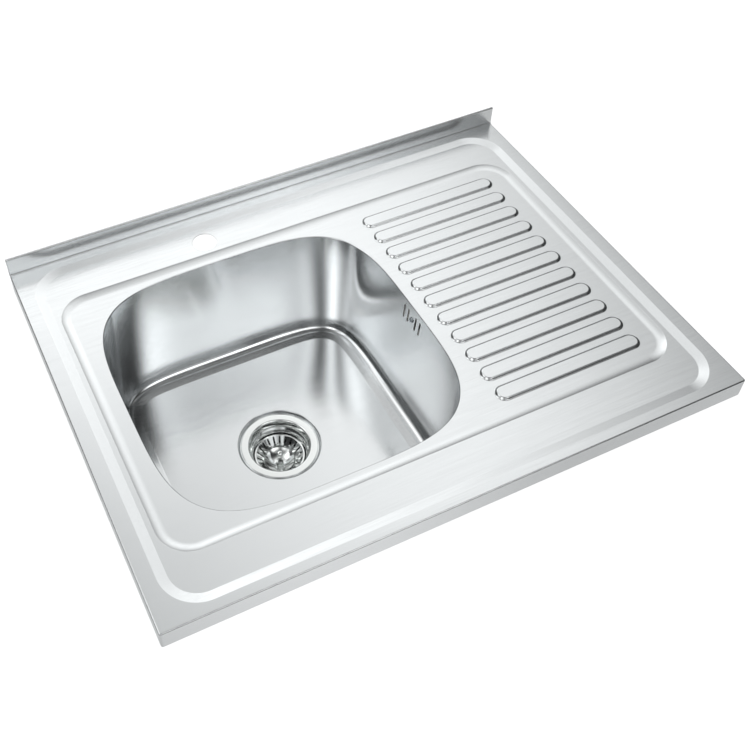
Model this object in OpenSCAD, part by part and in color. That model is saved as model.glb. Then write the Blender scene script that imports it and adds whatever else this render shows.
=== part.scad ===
// Lay-on kitchen sink: a pressed deck with a ribbed drainer, a deep-drawn bowl welded under it,
// a basket strainer waste with its overflow, and the brackets that hold the sink to a cabinet.
// The origin is the middle of the plane in which the sink rests on the cabinet,
// X runs to the right, Y to the rear and Z upwards.

/* [Deck] */
// Width over the side aprons
deck_w = 800; // [780:1:1200]
// Depth from the front apron to the back of the upstand
deck_d = 600; // [590:1:640]
// Thickness of the deck's sheet
sheet_t = 0.8; // [0.6:0.1:1.2]
// Height of the aprons
apron_h = 30; // [26:1:50]
// Radius of the bend along the deck's edges
bend_r = 2; // [1.5:0.1:3]
// Width of the hem turned in under the aprons
hem_w = 20; // [18:1:30]
// Height of the lip along the hem's inner edge
lip_h = 7; // [5:0.5:10]
// Height of the upstand above the deck
upstand_h = 30; // [20:1:60]
// Thickness of the upstand over its folded top
upstand_t = 4; // [3:0.1:6]
// How far the upstand's folded top comes down at the back
upstand_return = 14; // [8:1:18]

/* [Pressed contours] */
// Border from the side edges to the outer contour
border_side = 21; // [16:1:30]
// Border from the front edge, and from the upstand, to the outer contour
border_front = 14; // [12:1:20]
// Corner radius of the outer contour
border_r = 50; // [40:1:60]
// Width of the sloping band of the outer contour
border_band = 12.5; // [8:0.5:16]
// Step down from the border to the shelf
border_drop = 2.5; // [1:0.1:4]
// From the side edges to the inner contour
shelf_side = 40; // [37:0.5:46]
// From the bowl's opening to the inner contour, in front and behind
shelf_margin = 19.5; // [16:0.5:24]
// Corner radius of the inner contour
shelf_r = 44; // [30:1:50]
// Width of the curved band of the inner contour
shelf_band = 13.5; // [8:0.5:14]
// Step down from the shelf to the panel round the bowl
shelf_drop = 2.5; // [1:0.1:4]

/* [Tap hole] */
// Diameter of the tap hole
tap_d = 35; // [32:0.5:38]
// From the left edge to the middle of the tap hole
tap_left = 275; // [200:1:600]
// From the rear edge to the middle of the tap hole
tap_rear = 58; // [52:0.5:60]

/* [Drainer] */
// Number of ribs
rib_n = 11; // [5:1:11]
// Distance from one rib to the next
rib_pitch = 35.65; // [30:0.05:36]
// Width of a rib at its foot
rib_w = 26.5; // [18:0.5:28]
// Height of a rib
rib_h = 3; // [2:0.1:4]
// Slope of a rib's wall between its top edge and its foot, in degrees
rib_slope = 50; // [40:1:60]
// Radius along a rib's top edge and along its foot
rib_edge_r = 2.4; // [1:0.1:2.6]
// From the bowl's edge to the ribs
rib_gap = 16.5; // [12:0.5:30]
// From the ribs to the inner contour's inner edge
rib_end = 22; // [10:0.5:60]

/* [Bowl] */
// Width of the bowl's opening
bowl_w = 412; // [380:1:416]
// Depth of the bowl's opening, front to rear
bowl_d = 402; // [380:1:406]
// From the left edge to the bowl's opening
bowl_left = 72; // [68:1:90]
// Depth of the bowl below the panel
bowl_h = 193; // [160:1:210]
// Thickness of the bowl's sheet
bowl_t = 0.8; // [0.6:0.1:1.2]
// Width of the flange welded under the deck
bowl_flange = 9; // [6:0.5:10]
// How far the walls lean in from top to bottom
bowl_lean = 13; // [10:0.5:24]
// Radius between the walls and the floor
bowl_fillet = 14; // [8:0.5:20]
// Width of the sloping ring round the floor
bowl_ring = 11; // [6:0.5:16]
// Height of the sloping ring
bowl_ring_h = 2.5; // [0.8:0.1:4]
// Exponent of the opening's outline, 2 is an ellipse
bowl_top_curve = 3.95; // [3:0.05:5]
// Exponent of the floor's outline, higher is squarer
bowl_floor_curve = 8.3; // [6:0.1:10]

/* [Strainer cup] */
// Radius of the recess in the bowl's floor
recess_r = 60.5; // [59:0.5:66]
// Depth of the recess
recess_h = 5; // [4:0.1:7]
// Radius of the cup's flange
cup_flange_r = 56; // [54:0.5:56]
// Radius of the cup's mouth
cup_r = 43.8; // [42:0.1:44]
// Depth of the cup from its flange to its seat
cup_h = 49.5; // [48:0.5:56]
// Thickness of the cup's sheet
cup_t = 0.8; // [0.6:0.1:1]
// Thickness of the flange gasket
gasket_t = 1.5; // [1:0.1:2]

/* [Basket] */
// Radius of the basket's rim
basket_r = 37.2; // [36:0.1:38]
// Number of slots in the basket
slot_n = 22; // [16:1:24]
// Width of a slot in the basket
slot_w = 2.8; // [2:0.1:3.2]
// Radius of the dished plate
plate_r = 21.6; // [18:0.1:22]
// Height of the knob
knob_h = 26; // [20:1:30]
// Radius of the knob
knob_r = 6.5; // [5:0.1:7]
// Radius of the stem's guide pin
stem_r = 2.5; // [2:0.1:2.8]

/* [Waste body] */
// Thickness of the rubber washer under the bowl
washer_t = 2.5; // [2:0.1:4]
// Radius of the threaded outlet
outlet_r = 23.9; // [22:0.1:25]
// Length of the threaded outlet
outlet_l = 25; // [18:1:35]
// Thickness of the moulded walls
body_t = 3; // [2.4:0.1:3.4]
// Radius of the clamp screw's shank
screw_r = 3; // [2.5:0.1:3]

/* [Overflow] */
// Length of an overflow slot
overflow_slot_l = 24; // [18:0.5:25]
// Width of an overflow slot
overflow_slot_w = 4; // [3:0.1:5]
// From the screw to the nearer slots
overflow_slot_near = 9.5; // [8.5:0.1:11]
// From one slot of a pair to the other
overflow_slot_pitch = 10.5; // [8:0.1:12]
// From the panel down to the middle of the slots
overflow_below = 24; // [23.5:0.5:40]
// Depth of the overflow head
overflow_head_t = 22; // [20:0.5:26]

/* [Overflow hose] */
// Radius of the hose's bore, across its corners
hose_bore_r = 10.9; // [10.9:0.1:11.1]
// Thickness of the hose's wall
hose_t = 1.3; // [1:0.1:1.3]
// Height of a rib on the hose
hose_rib_h = 1.8; // [1:0.1:2]
// Distance from one hose rib to the next
hose_pitch = 5; // [4:0.5:8]
// Radius of the hose's bend
hose_bend_r = 60; // [50:1:60]
// Length of each plain cuff
hose_cuff = 30; // [28:1:40]

/* [Fixing brackets] */
// From the middle of the cabinet to the front and rear brackets
bracket_y = 200; // [100:1:230]
// Width of a bracket
bracket_w = 24; // [20:1:40]
// Thickness of a bracket
bracket_t = 1.5; // [1:0.1:2]
// How far a bracket hangs below the hem
bracket_drop = 45; // [42:1:60]
// Radius of the bracket's screw hole
bracket_hole_r = 2.25; // [1.8:0.05:3]

/* [Sound pads] */
// Length of the pads under the bowl, front to rear
bowl_pad_l = 220; // [120:1:240]
// Width of the pads under the bowl
bowl_pad_w = 70; // [40:1:78]
// Thickness of the pads
pad_t = 3; // [2:0.1:4]
// Width of the pad under the drainer
drainer_pad_w = 180; // [80:1:200]
// Length of the pad under the drainer, front to rear
drainer_pad_l = 300; // [150:1:320]

/* [Hidden] */
$fn = 64;

steel = "#c8cccb";
polished = "#dfe2e2";
rubber = "#26282a";
plastic = "#f1f1ee";
zinc = "#aab0b5";
brass = "#c9a54a";

// Slack between pieces that are put together by hand
loose = 0.3;
// Running clearance of a guide, in radius
running = 0.08;
// Overrun of a cut past the face it opens
past = 1;
// Lap of a pressed band's flat edges into the flat sheet beside it
lap = 1;

shelf_z = apron_h - border_drop;
panel_z = shelf_z - shelf_drop;
upstand_y = deck_d / 2 - upstand_t;
seat_y = upstand_y - bend_r - 1;
tap_at = [tap_left - deck_w / 2, deck_d / 2 - tap_rear];
// Middle of the contours, the bowl and the ribs, between the front edge and the upstand
middle_y = -upstand_t / 2;
outer = [deck_w - 2 * border_side, deck_d - upstand_t - 2 * border_front];
inner = [deck_w - 2 * shelf_side, bowl_d + 2 * shelf_margin];

bowl_x = bowl_left + bowl_w / 2 - deck_w / 2;
bowl_top = panel_z - sheet_t;
floor_z = bowl_top + sheet_t - bowl_h;
bowl_gap = 0.6;
bowl_bend = 1.5;
bowl_angles = [12, 20, 26.5, 32, 36, 39, 41.5, 44];
bowl_sides = 8 * len(bowl_angles);
wall_foot_z = floor_z + bowl_ring_h + bowl_fillet;
wall_head_z = bowl_top - bowl_bend;
wall_angle = atan((bowl_lean + bowl_gap) / (wall_head_z - wall_foot_z));
floor_inset = bowl_lean + bowl_fillet + bowl_ring;

rib_from = bowl_x + bowl_w / 2 + rib_gap;
rib_to = deck_w / 2 - shelf_side - shelf_band - rib_end;
rib_l = rib_to - rib_from;
drainer_x = (rib_from + rib_to) / 2;

recess_z = floor_z - recess_h;
recess_lean = 3;
waste_hole_r = cup_r + cup_t + 0.9;
cup_z = recess_z + gasket_t + cup_t;
cup_bend_r = 3;
cup_wall_r = basket_r + 1.6;
cup_seat_z = cup_z - cup_h;
well_r = 21.5;
well_h = 8.5;
hub_z = cup_seat_z - well_h;
hub_r = 8;
spoke_w = 4;

screw_head_r = 5;
screw_head_h = 7.5;
socket_h = 6;

plug_lip = 1.5;
plug_t = 4;
plug_r = 26;
basket_bottom_z = cup_seat_z + loose + plug_lip + plug_t;
basket_h = 20;
basket_z = basket_bottom_z + cup_t + basket_h;
basket_wall_r = plate_r - 0.6;
plate_z = basket_bottom_z + 2 * cup_t;
plate_h = 7;
stem_tip_r = stem_r - 0.5;
stem_tip_l = 5;
stem_collar = 1.2;
stem_l = 7;

washer_z = recess_z - bowl_t;
washer_r = 55;
body_z = washer_z - washer_t;
body_r = waste_hole_r + 0.5;
body_h = 48;
funnel_h = 15;
funnel_z = body_z - body_h;
inlet_z = body_z - 24;
inlet_l = 76;
hose_r = hose_bore_r + hose_t;
inlet_r = hose_r + loose;
inlet_t = 3;
outlet_bottom_z = funnel_z - funnel_h - 8 - outlet_l;
nut_hub_r = 9;
nut_hub_h = 18;
nut_hub_z = hub_z - cup_t - 5;
nut_af = 10;
nut_t = 4.8;
nut_slack = 0.1;
hose_washer_t = 3;
hose_nut_wall = 3;
hose_nut_grip = 16;

overflow_z = panel_z - overflow_below;
overflow_inset = (wall_head_z - overflow_z) * tan(wall_angle) - bowl_gap;
overflow_x = bowl_x + bowl_outline(overflow_inset, bowl_curve(overflow_inset))[0].x;
overflow_w = 2 * (overflow_slot_near + overflow_slot_pitch) + 22;
overflow_h = overflow_slot_l + 13;
overflow_wall = 3;
overflow_gasket_t = 2;
overflow_screw_r = 2.5;
wall_slack = 0.05;
overflow_face = bowl_t + wall_slack + overflow_gasket_t;
spigot_r = 9.9;
spigot_bore_r = 8.2;
spigot_l = 24;
spigot_x = overflow_x + overflow_face + overflow_head_t / 2;
spigot_z = overflow_z - overflow_h / 2 - overflow_head_t * sin(wall_angle);

hose_start = bowl_x + inlet_l - 14;
hose_top = spigot_z - 1;
hose_run = spigot_x - hose_bend_r - hose_start;
hose_arc = hose_bend_r * PI / 2;
hose_rise = hose_top - inlet_z - hose_bend_r;
hose_l = hose_run + hose_arc + hose_rise;

lip_x = deck_w / 2 - hem_w;

// Points along an arc about a centre, from one angle to another
function arc(centre, r, from, to, n) =
    [for (i = [0:n]) let (a = from + (to - from) * i / n) centre + r * [cos(a), sin(a)]];

// Unit vector to the left of the way from p to q
function left_of(p, q) = [p.y - q.y, q.x - p.x] / norm(q - p);

// A path moved to its left by t, mitred at its corners
function beside(path, t) =
    [for (i = [0:len(path) - 1])
        let (last = len(path) - 1,
            a = left_of(path[max(i - 1, 0)], path[max(i, 1)]),
            b = left_of(path[min(i, last - 1)], path[min(i + 1, last)]))
        path[i] + (a + b) * t / (1 + a * b)];

function reversed(list) = [for (i = [len(list) - 1:-1:0]) list[i]];

// Outline of sheet metal of thickness t, to the left of a path
function bent(path, t) = concat(path, reversed(beside(path, t)));

// Outline of pressed sheet metal, thinned where it is steep
function pressed(path, t) = concat(path, [for (p = reversed(path)) p - [0, t]]);

// Outline of a rounded rectangle
module rounded(w, d, r) {
    square([w - 2 * r, d], center = true);
    square([w, d - 2 * r], center = true);
    for (x = [-1, 1], y = [-1, 1])
        translate([x * (w / 2 - r), y * (d / 2 - r)]) circle(r);
}

// Outline of a slot with round ends, along X
module slot(l, w) {
    square([l - w, w], center = true);
    for (x = [-1, 1]) translate([x * (l - w) / 2, 0]) circle(w / 2);
}

// Sweeps a profile round a rounded rectangle. The profile's x is the distance
// outwards from the corner's centre, so the outline itself is at x = r
module swept(w, d, r) {
    for (side = [0:3]) {
        long = side % 2 == 0 ? d - 2 * r : w - 2 * r;
        out = side % 2 == 0 ? w / 2 - r : d / 2 - r;
        rotate(90 * side) {
            translate([out, long / 2, 0]) rotate([90, 0, 0]) linear_extrude(long) children();
            translate([out, long / 2, 0]) rotate_extrude(angle = 90) children();
        }
    }
}

// Revolves the outline of a wall about the waste's axis
module turned(points) {
    translate([bowl_x, middle_y, 0]) rotate_extrude() polygon(points);
}

// The deck's outer box as a solid, shrunk by inset on every face but the open ones
module deck_block(inset) {
    w = deck_w / 2 - inset;
    front = -deck_d / 2 + inset;
    rear = seat_y + (inset > 0 ? past : 0);
    top = apron_h - inset;
    base = inset > 0 ? -past : 0;
    r = bend_r - inset;
    intersection() {
        translate([0, rear, 0]) rotate([90, 0, 0]) linear_extrude(rear - front)
            polygon(concat([[-w, base], [w, base]],
                arc([w - r, top - r], r, 0, 90, 4), arc([r - w, top - r], r, 90, 180, 4)));
        translate([-w, 0, 0]) rotate([90, 0, 90]) linear_extrude(2 * w)
            polygon(concat([[front, base], [rear, base], [rear, top]],
                arc([front + r, top - r], r, 90, 180, 4)));
    }
}

// The deck's folded sheet between two heights
module folded_sheet(from, to) {
    intersection() {
        difference() {
            deck_block(0);
            deck_block(sheet_t);
        }
        translate([-deck_w / 2, -deck_d / 2, from]) cube([deck_w, deck_d, to - from]);
    }
}

// A strip of a given width along the inside of the front and side aprons
module hem_outline(outside, inside) {
    difference() {
        translate([outside - deck_w / 2, outside - deck_d / 2])
            square([deck_w - 2 * outside, seat_y + deck_d / 2 - outside]);
        translate([inside - deck_w / 2, inside - deck_d / 2])
            square([deck_w - 2 * inside, deck_d]);
    }
}

module aprons() {
    color(steel) {
        folded_sheet(0, apron_h - bend_r);
        linear_extrude(sheet_t) hem_outline(0, hem_w);
        linear_extrude(lip_h) hem_outline(hem_w - sheet_t, hem_w);
    }
}

module upstand() {
    top = apron_h + upstand_h;
    fold = upstand_t / 2;
    path = concat([[seat_y, apron_h]],
        arc([upstand_y - bend_r, apron_h + bend_r], bend_r, -90, 0, 4),
        arc([upstand_y + fold, top - fold], fold, 180, 0, 8),
        [[deck_d / 2, top - upstand_return]]);
    color(steel) translate([-deck_w / 2, 0, 0]) rotate([90, 0, 90]) linear_extrude(deck_w)
        polygon(bent(path, -sheet_t));
}

// The pressed skin of one rib, from the middle of its top to the sheet round its foot
function rib_path() =
    let (foot = rib_w / 2,
        straight_h = rib_h - 2 * rib_edge_r * (1 - cos(rib_slope)),
        edge = foot - 2 * rib_edge_r * sin(rib_slope) - straight_h / tan(rib_slope))
    concat(arc([edge, rib_h - rib_edge_r], rib_edge_r, 90, 90 - rib_slope, 3),
        arc([foot, rib_edge_r], rib_edge_r, 270 - rib_slope, 270, 3), [[foot + lap, 0]]);

module rib() {
    half = pressed(concat([[0, rib_h]], rib_path()), sheet_t);
    run = rib_l - rib_w;
    across = concat([for (p = reversed(rib_path())) [-p.x, p.y]], rib_path());
    translate([-run / 2, 0, 0]) rotate([90, 0, 90]) linear_extrude(run)
        polygon(pressed(across, sheet_t));
    for (side = [0, 1])
        rotate(180 * side) translate([run / 2, 0, 0]) rotate(-90)
            rotate_extrude(angle = 180) polygon(half);
}

module at_ribs() {
    for (i = [0:rib_n - 1])
        translate([drainer_x, middle_y + (i - (rib_n - 1) / 2) * rib_pitch]) children();
}

// The straight band of the outer contour, from the shelf up to the border
function border_path() =
    let (foot = border_r - border_band)
    [[foot - lap, -border_drop], [foot, -border_drop], [border_r, 0], [border_r + lap, 0]];

// The curved band of the inner contour: a crease at the shelf that runs out flat into the panel
function shelf_path() = concat(
    [[shelf_r - shelf_band - lap, 0]],
    [for (i = [0:5]) let (u = i / 5) [shelf_r - shelf_band * (1 - u), shelf_drop * u * u]],
    [[shelf_r + lap, shelf_drop]]);

module deck() {
    color(steel) {
        difference() {
            folded_sheet(apron_h - bend_r, apron_h);
            translate([0, middle_y, apron_h - sheet_t - past])
                linear_extrude(sheet_t + 2 * past) rounded(outer.x, outer.y, border_r);
        }
        translate([0, middle_y, apron_h]) swept(outer.x, outer.y, border_r)
            polygon(pressed(border_path(), sheet_t));
        translate([0, 0, shelf_z - sheet_t]) linear_extrude(sheet_t) difference() {
            translate([0, middle_y]) rounded(outer.x - 2 * border_band,
                outer.y - 2 * border_band, border_r - border_band);
            translate([0, middle_y]) rounded(inner.x, inner.y, shelf_r);
            translate(tap_at) circle(d = tap_d);
        }
        translate([0, middle_y, panel_z]) swept(inner.x, inner.y, shelf_r)
            polygon(pressed(shelf_path(), sheet_t));
        translate([0, 0, panel_z - sheet_t]) linear_extrude(sheet_t) difference() {
            translate([0, middle_y]) rounded(inner.x - 2 * shelf_band,
                inner.y - 2 * shelf_band, shelf_r - shelf_band);
            translate([bowl_x, middle_y]) polygon(bowl_outline(0, bowl_top_curve));
            at_ribs() slot(rib_l, rib_w);
        }
        translate([0, 0, panel_z]) at_ribs() rib();
    }
}

// Outline of the bowl about its middle, at an inset from its opening: a superellipse
// whose points crowd at the corners
function bowl_outline(inset, curve) =
    [for (side = [0:3],
            turn = concat(bowl_angles, [for (a = reversed(bowl_angles)) 90 - a]))
        let (a = 90 * side + turn,
            x = abs(cos(a)) / (bowl_w / 2 - inset),
            y = abs(sin(a)) / (bowl_d / 2 - inset),
            r = pow(pow(x, curve) + pow(y, curve), -1 / curve))
        [r * cos(a), r * sin(a)]];

// The bowl's section as insets and heights, from the flange to the floor's edge
function bowl_section() = concat(
    [[-bowl_gap - bowl_flange, bowl_top]],
    arc([-bowl_gap - bowl_bend, wall_head_z], bowl_bend, 90, 0, 2),
    [for (i = [1:3]) [bowl_lean, wall_foot_z] * i / 4 + [-bowl_gap, wall_head_z] * (4 - i) / 4],
    arc([bowl_lean + bowl_fillet, wall_foot_z], bowl_fillet, 180, 270, 5),
    [[floor_inset, floor_z]]);

// The outline's exponent grows from the opening to the floor
function bowl_curve(inset) =
    bowl_top_curve + (bowl_floor_curve - bowl_top_curve) * max(inset, 0) / floor_inset;

// The bowl's sheet between two rings of its section, closed by a plate where it has a floor
module bowl_shell(from, to, has_floor) {
    inside = bowl_section();
    outside = beside(concat(inside, [[floor_inset + bowl_ring, floor_z]]), -bowl_t);
    n = bowl_sides;
    count = to - from + 1;
    points = [for (side = [inside, outside], k = [from:to])
        each [for (p = bowl_outline(side[k].x, bowl_curve(inside[k].x))) [p.x, p.y, side[k].y]]];
    // Quads between ring k and ring m, facing up or inwards for the inside
    skin = function (k, m) [for (i = [0:n - 1]) let (j = (i + 1) % n)
        [k * n + i, m * n + i, m * n + j, k * n + j]];
    polyhedron(points, concat(
        [for (k = [0:count - 2]) each skin(k, k + 1)],
        [for (k = [0:count - 2]) each skin(count + k + 1, count + k)],
        skin(count, 0),
        has_floor ? [
            [for (i = [n - 1:-1:0]) (count - 1) * n + i],
            [for (i = [0:n - 1]) (2 * count - 1) * n + i]] : skin(count - 1, 2 * count - 1)));
}

// Places children on the inside of the bowl's right wall, X square to the wall
module on_overflow() {
    translate([overflow_x, middle_y, overflow_z]) rotate([0, wall_angle, 0]) children();
}

// Extrudes an outline of the YZ plane along X, from one depth to another
module across(from, to) {
    translate([from, 0, 0]) rotate([90, 0, 90]) linear_extrude(to - from) children();
}

module bowl() {
    color(steel) difference() {
        translate([bowl_x, middle_y, 0]) bowl_shell(0, len(bowl_section()) - 2, false);
        on_overflow() {
            for (side = [-1, 1], k = [0, 1])
                translate([0, side * (overflow_slot_near + k * overflow_slot_pitch), 0])
                    across(-5, 5) rotate(90) slot(overflow_slot_l, overflow_slot_w);
            across(-5, 5) circle(overflow_screw_r + loose);
        }
    }
}

module bowl_floor() {
    last = len(bowl_section()) - 1;
    color(steel) {
        difference() {
            translate([bowl_x, middle_y, 0]) bowl_shell(last - 1, last, true);
            translate([bowl_x, middle_y, floor_z - bowl_t - past])
                cylinder(h = bowl_t + 2 * past, r = recess_r + past);
        }
        turned(pressed([[waste_hole_r, recess_z], [recess_r - recess_lean, recess_z],
            [recess_r, floor_z], [recess_r + past, floor_z]], bowl_t));
    }
}

module bowl_pads() {
    middle = (recess_r + bowl_w / 2 - floor_inset) / 2;
    color(rubber) for (side = [-1, 1])
        translate([bowl_x + side * middle, middle_y, floor_z - bowl_t - pad_t / 2])
            cube([bowl_pad_w, bowl_pad_l, pad_t], center = true);
}

module drainer_pad() {
    color(rubber) translate([drainer_x, middle_y, panel_z - sheet_t - pad_t / 2])
        cube([drainer_pad_w, drainer_pad_l, pad_t], center = true);
}

// The cup's inside, from the flange's turned-down edge to the hub's hole
function cup_path() = concat(
    [[cup_flange_r, cup_z - gasket_t - cup_t + 0.2]],
    arc([cup_flange_r - 1.2, cup_z - 1.2], 1.2, 0, 90, 3),
    arc([cup_r + cup_bend_r, cup_z - cup_bend_r], cup_bend_r, 90, 180, 4),
    arc([cup_r - 6, cup_z - 10], 6, 0, -60, 3),
    [[cup_wall_r, cup_z - 19.5]],
    arc([cup_wall_r - 7, cup_seat_z + 7], 7, 0, -90, 4),
    [[well_r + 1.5, cup_seat_z]],
    [[well_r, cup_seat_z - 1.5]],
    [[well_r, hub_z]],
    [[screw_r + loose, hub_z]]);

module strainer_cup() {
    color(polished) difference() {
        turned(bent(cup_path(), cup_t));
        translate([bowl_x, middle_y, hub_z - cup_t - past]) linear_extrude(cup_t + 2 * past)
            difference() {
                circle(well_r - 1.6);
                circle(hub_r);
                for (a = [0, 90]) rotate(a) square([2 * well_r, spoke_w], center = true);
            }
    }
}

// A flat ring round the waste's axis
module ring(inner, outer, z, t) {
    translate([bowl_x, middle_y, z]) linear_extrude(t) difference() {
        circle(outer);
        circle(inner);
    }
}

module flange_gasket() {
    color(rubber) ring(cup_r + cup_bend_r + loose, cup_flange_r - cup_t - 1, recess_z, gasket_t);
}

module body_washer() {
    color(rubber) ring(waste_hole_r, washer_r, body_z, washer_t);
}

// Places children on the axis of the waste body's overflow inlet, Z along it
module on_inlet(from) {
    translate([bowl_x + from, middle_y, inlet_z]) rotate([0, 90, 0]) children();
}

// The moulded body with its flange and its overflow inlet
module waste_body() {
    outside = body_r + body_t;
    color(plastic) difference() {
        union() {
            turned([[body_r, body_z], [washer_r, body_z], [washer_r, body_z - 4],
                [outside + 1, body_z - 5], [outside, body_z - 6], [outside, funnel_z],
                [body_r, funnel_z]]);
            on_inlet(body_r + body_t / 2)
                cylinder(h = inlet_l - body_r - body_t / 2, r = inlet_r + inlet_t);
        }
        on_inlet(waste_hole_r - past) cylinder(h = inlet_l, r = inlet_r);
    }
}

// The funnel that closes the body, with the screw's hub and the threaded outlet
module waste_outlet() {
    neck = funnel_z - funnel_h;
    bore = outlet_r - body_t;
    hub_end = nut_hub_z - nut_hub_h;
    color(plastic) difference() {
        union() {
            turned([[body_r, funnel_z], [body_r + body_t, funnel_z],
                [outlet_r + 3, neck], [outlet_r + 3, neck - 6], [outlet_r, neck - 8],
                [outlet_r, outlet_bottom_z], [bore, outlet_bottom_z], [bore, neck]]);
            translate([bowl_x, middle_y, hub_end]) {
                cylinder(h = nut_hub_h, r = nut_hub_r);
                for (a = [0, 90]) rotate(a) translate([-bore - 0.5, -1.5, 0])
                    cube([2 * bore + 1, 3, nut_hub_h - 4]);
            }
        }
        translate([bowl_x, middle_y, hub_end - past]) {
            cylinder(h = nut_hub_h + 2 * past, r = screw_r + loose);
            cylinder(h = nut_t + nut_slack + past, r = (nut_af / 2 + nut_slack) / cos(30), $fn = 6);
        }
    }
}

module clamp_screw() {
    end = nut_hub_z - nut_hub_h;
    color(zinc) translate([bowl_x, middle_y, 0]) difference() {
        union() {
            translate([0, 0, hub_z]) cylinder(h = screw_head_h, r = screw_head_r);
            translate([0, 0, end]) cylinder(h = hub_z - end, r = screw_r);
        }
        translate([0, 0, hub_z + screw_head_h - socket_h])
            cylinder(h = socket_h + past, r = stem_r + running);
    }
}

module clamp_nut() {
    color(brass) translate([bowl_x, middle_y, nut_hub_z - nut_hub_h + nut_slack]) difference() {
        cylinder(h = nut_t, r = nut_af / 2 / cos(30), $fn = 6);
        translate([0, 0, -past]) cylinder(h = nut_t + 2 * past, r = screw_r + 0.02);
    }
}

module overflow_head() {
    back = overflow_face + overflow_head_t;
    color(plastic) difference() {
        union() {
            on_overflow() across(overflow_face, back) rounded(overflow_w, overflow_h, 9);
            translate([spigot_x, middle_y, spigot_z - spigot_l])
                cylinder(h = spigot_l + overflow_h / 2, r = spigot_r);
        }
        difference() {
            on_overflow() across(overflow_face - past, back - overflow_wall)
                rounded(overflow_w - 2 * overflow_wall, overflow_h - 2 * overflow_wall, 6);
            on_overflow() across(overflow_face, back) circle(overflow_screw_r + 2.5);
        }
        on_overflow() across(overflow_face - past, back - overflow_wall)
            circle(overflow_screw_r + 0.02);
        translate([spigot_x, middle_y, spigot_z - spigot_l - past])
            cylinder(h = spigot_l + overflow_wall + 4, r = spigot_bore_r);
    }
}

module overflow_gasket() {
    color(rubber) on_overflow() across(overflow_face - overflow_gasket_t, overflow_face)
        difference() {
            rounded(overflow_w, overflow_h, 9);
            rounded(overflow_w - 2 * overflow_wall, overflow_h - 2 * overflow_wall, 6);
        }
}

module overflow_screw() {
    length = overflow_face + overflow_head_t - overflow_wall - 1;
    color(zinc) on_overflow() translate([-wall_slack, 0, 0]) difference() {
        rotate([0, 90, 0]) rotate_extrude() polygon(concat(
            [[0, length], [overflow_screw_r, length - 1.5], [overflow_screw_r, 0], [4, 0]],
            arc([2.4, -0.4], 1.6, 0, -90, 3), [[0, -2]]));
        translate([-2.5, -3, -0.5]) cube([1.3, 6, 1]);
    }
}

// The hose's axis at a distance from its start, as X and Z, and its heading in degrees
function hose_at(s) =
    s < hose_run ? [hose_start + s, inlet_z, 0] :
    s < hose_run + hose_arc ? let (a = (s - hose_run) / hose_bend_r * 180 / PI)
        [spigot_x - hose_bend_r + hose_bend_r * sin(a),
            inlet_z + hose_bend_r * (1 - cos(a)), a] :
    [spigot_x, inlet_z + hose_bend_r + s - hose_run - hose_arc, 90];

// One ring of the hose's skin
function hose_ring(s, r) =
    let (at = hose_at(s))
    [for (i = [0:7]) let (a = 45 * i + 22.5, u = r * cos(a))
        [at.x - u * sin(at[2]), middle_y + r * sin(a), at.y + u * cos(at[2])]];

module overflow_hose() {
    n = 8;
    ribs = floor((hose_l - 2 * hose_cuff) / hose_pitch);
    first = (hose_l - ribs * hose_pitch) / 2;
    skin = concat([[0, hose_r], [first - 0.5, hose_r]],
        [for (i = [0:ribs - 1]) each [
            [first + i * hose_pitch, hose_r],
            [first + (i + 0.5) * hose_pitch, hose_r + hose_rib_h]]],
        [[hose_l - first, hose_r], [hose_l, hose_r]]);
    steps = 24;
    bore = [for (i = [steps:-1:0]) [hose_l * i / steps, hose_bore_r]];
    rings = concat(skin, bore);
    last = len(rings);
    color(plastic) polyhedron([for (ring = rings) each hose_ring(ring[0], ring[1])],
        [for (k = [0:last - 1], i = [0:n - 1])
            let (m = (k + 1) % last, j = (i + 1) % n)
            [k * n + i, m * n + i, m * n + j, k * n + j]]);
}

module hose_washer() {
    color(rubber) on_inlet(inlet_l) difference() {
        cylinder(h = hose_washer_t, r = inlet_r + inlet_t - 0.5);
        translate([0, 0, -past]) cylinder(h = hose_washer_t + 2 * past, r = hose_r + 0.05);
    }
}

module hose_nut() {
    length = hose_nut_grip + hose_washer_t + hose_nut_wall;
    inside = inlet_r + inlet_t + 0.1;
    color(plastic) on_inlet(inlet_l - hose_nut_grip) difference() {
        union() {
            cylinder(h = length, r = inside + 2.5);
            for (a = [0:45:359]) rotate(a)
                translate([inside + 1.5, -1.5, 0]) cube([2.6, 3, length - 3]);
        }
        translate([0, 0, -past])
            cylinder(h = hose_nut_grip + hose_washer_t + past, r = inside);
        cylinder(h = length + past, r = hose_r + loose);
    }
}

// One bracket, hooked over the lip of the right-hand hem
module bracket() {
    gap = 0.2;
    path = [[lip_x + sheet_t + gap, lip_h - 3], [lip_x + sheet_t + gap, lip_h],
        [lip_x - gap, lip_h], [lip_x - gap, -bracket_drop]];
    difference() {
        translate([0, bracket_w / 2, 0]) rotate([90, 0, 0]) linear_extrude(bracket_w)
            polygon(bent(path, -bracket_t));
        across(lip_x - bracket_t - past, lip_x) {
            translate([0, -12]) circle(bracket_hole_r);
            translate([0, -29]) rotate(50) slot(16, 5);
        }
    }
}

module fixing_brackets() {
    color(zinc) for (side = [0, 1], y = [-bracket_y, bracket_y])
        mirror([side, 0, 0]) translate([0, y, 0]) bracket();
}

// The basket's inside, from its rolled rim to the stem's hole
function basket_path() = concat(
    [[basket_r, basket_z - 1.8]],
    arc([basket_r - 1.2, basket_z - 1.2], 1.2, 0, 90, 3),
    [[basket_r - 2.3, basket_z]],
    [[basket_r - 3, basket_z - 0.8]],
    [[basket_wall_r + 1, basket_z - 13.5]],
    [[basket_wall_r, basket_z - 15.5]],
    [[basket_wall_r, basket_bottom_z + cup_t]],
    [[stem_tip_r + 0.1, basket_bottom_z + cup_t]]);

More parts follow.
